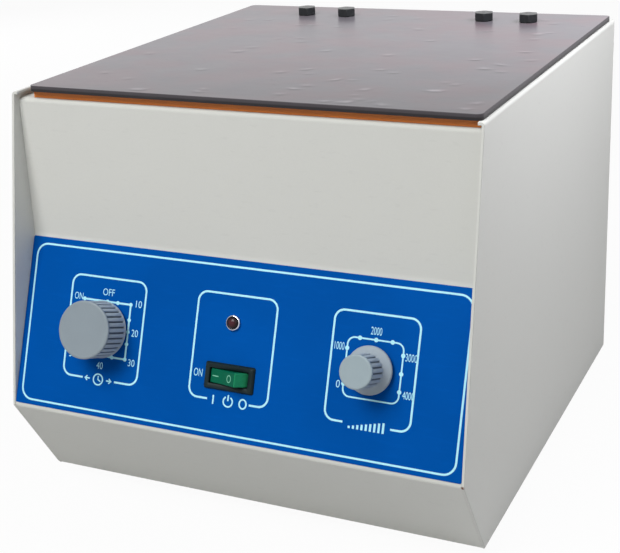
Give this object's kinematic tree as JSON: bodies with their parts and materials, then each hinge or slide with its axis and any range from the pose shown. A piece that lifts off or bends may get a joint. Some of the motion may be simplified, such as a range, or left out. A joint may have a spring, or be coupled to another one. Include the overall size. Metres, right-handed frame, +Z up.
{
  "type": "bench centrifuge",
  "caption": "Bench centrifuge: folded sheet-metal case, flat hinged lid over a round chamber with an angle rotor, and a sloping panel with timer, rocker switch and speed knob.",
  "frame": {"origin": "bottom centre of the whole object, on the surface the feet stand on", "axes": "+Z up, the control panel faces -Y, +X to the right as seen from the front"},
  "size_m": [0.28, 0.3389, 0.2561],
  "materials": {
    "paint_warm_grey": "fine satin powder coat",
    "panel_blue": "satin printed film",
    "lid_mauve": "smooth semi-gloss enamel",
    "seal_amber": "soft silicone sheet",
    "knob_grey": "satin moulded",
    "black_plastic": "moulded",
    "rocker_green": "tinted translucent",
    "lamp_red": "tinted translucent",
    "bright_chrome": "polished",
    "zinc_steel": "bright zinc plate",
    "black_oxide": "black oxide on steel",
    "hinge_steel": "rolled steel",
    "rubber_black": "moulded rubber",
    "bowl_steel": "spun stainless",
    "rotor_alloy": "turned, clear anodised",
    "sleeve_alloy": "drawn",
    "motor_enamel": "dark grey enamel",
    "plate_steel": "grey primer",
    "board_green": "solder mask",
    "capacitor_sleeve": "shrink sleeve",
    "pin_brass": "plated"
  },
  "bodies": {
    "case": {"left_side_panel": "paint_warm_grey", "right_side_panel": "paint_warm_grey", "front_sheet": "paint_warm_grey", "control_overlay": "panel_blue", "top_deck": "paint_warm_grey", "base_plate": "paint_warm_grey", "rear_cover": "paint_warm_grey", "case_screws": "zinc_steel", "rubber_feet": "rubber_black", "foot_screws": "zinc_steel", "foot_nuts": "zinc_steel", "chamber_bowl": "bowl_steel", "bowl_screws": "zinc_steel", "hinge_fixed_leaves": "hinge_steel", "hinge_pins": "zinc_steel", "hinge_deck_screws": "zinc_steel", "motor_mount_plate": "plate_steel", "shock_mounts": "rubber_black", "mount_studs": "zinc_steel", "motor_body": "motor_enamel", "brush_caps": "black_plastic", "shaft_boot": "rubber_black", "timer_body": "black_plastic", "timer_screws": "zinc_steel", "speed_potentiometer": "zinc_steel", "rocker_frame": "black_plastic", "lamp_bezel": "bright_chrome", "lamp_lens": "lamp_red", "lamp_nut": "bright_chrome", "control_board": "board_green", "board_standoffs": "zinc_steel", "heat_sink": "rotor_alloy", "capacitor": "capacitor_sleeve", "power_inlet": "black_plastic", "inlet_pins": "pin_brass", "inlet_screws": "zinc_steel", "fuse_holder": "black_plastic"},
    "lid": {"lid_plate": "lid_mauve", "lid_seal": "seal_amber", "hinge_moving_leaves": "hinge_steel", "hinge_bolts": "black_oxide", "hinge_washers": "black_oxide", "hinge_cap_nuts": "black_oxide"},
    "rotor": {"motor_shaft": "zinc_steel", "rotor": "rotor_alloy", "tube_sleeves": "sleeve_alloy", "rotor_nut": "rotor_alloy"},
    "timer_dial": {"timer_knob": "knob_grey", "timer_shaft": "zinc_steel"},
    "speed_dial": {"speed_knob": "knob_grey", "speed_shaft": "zinc_steel"},
    "power_rocker": {"rocker_button": "rocker_green"},
    "fuse_cap": {"fuse_cap": "black_plastic"}
  },
  "joints": [
    {"name": "lid_hinge", "type": "hinge", "parent": "case", "child": "lid", "pos_m": [0, 0.15734, 0.2442], "axis": [-1, 0, 0], "range_deg": [0, 100]},
    {"name": "rotor_spin", "type": "hinge", "parent": "case", "child": "rotor", "pos_m": [0, 0.00904, 0.2097], "axis": [0, 0, 1], "continuous": true},
    {"name": "timer_turn", "type": "hinge", "parent": "case", "child": "timer_dial", "pos_m": [-0.083, -0.14342, 0.11376], "axis": [0, 0.9315, -0.3637], "range_deg": [-45, 270]},
    {"name": "speed_turn", "type": "hinge", "parent": "case", "child": "speed_dial", "pos_m": [0.083, -0.14342, 0.11376], "axis": [0, 0.9315, -0.3637], "range_deg": [0, 240]},
    {"name": "rocker_tilt", "type": "hinge", "parent": "case", "child": "power_rocker", "pos_m": [0.0012, -0.14958, 0.09909], "axis": [0, 0.3637, 0.9315], "range_deg": [0, 46]},
    {"name": "fuse_cap_turn", "type": "hinge", "parent": "case", "child": "fuse_cap", "pos_m": [0.036, 0.16154, 0.05341], "axis": [0, 1, 0], "range_deg": [0, 90]}
  ]
}
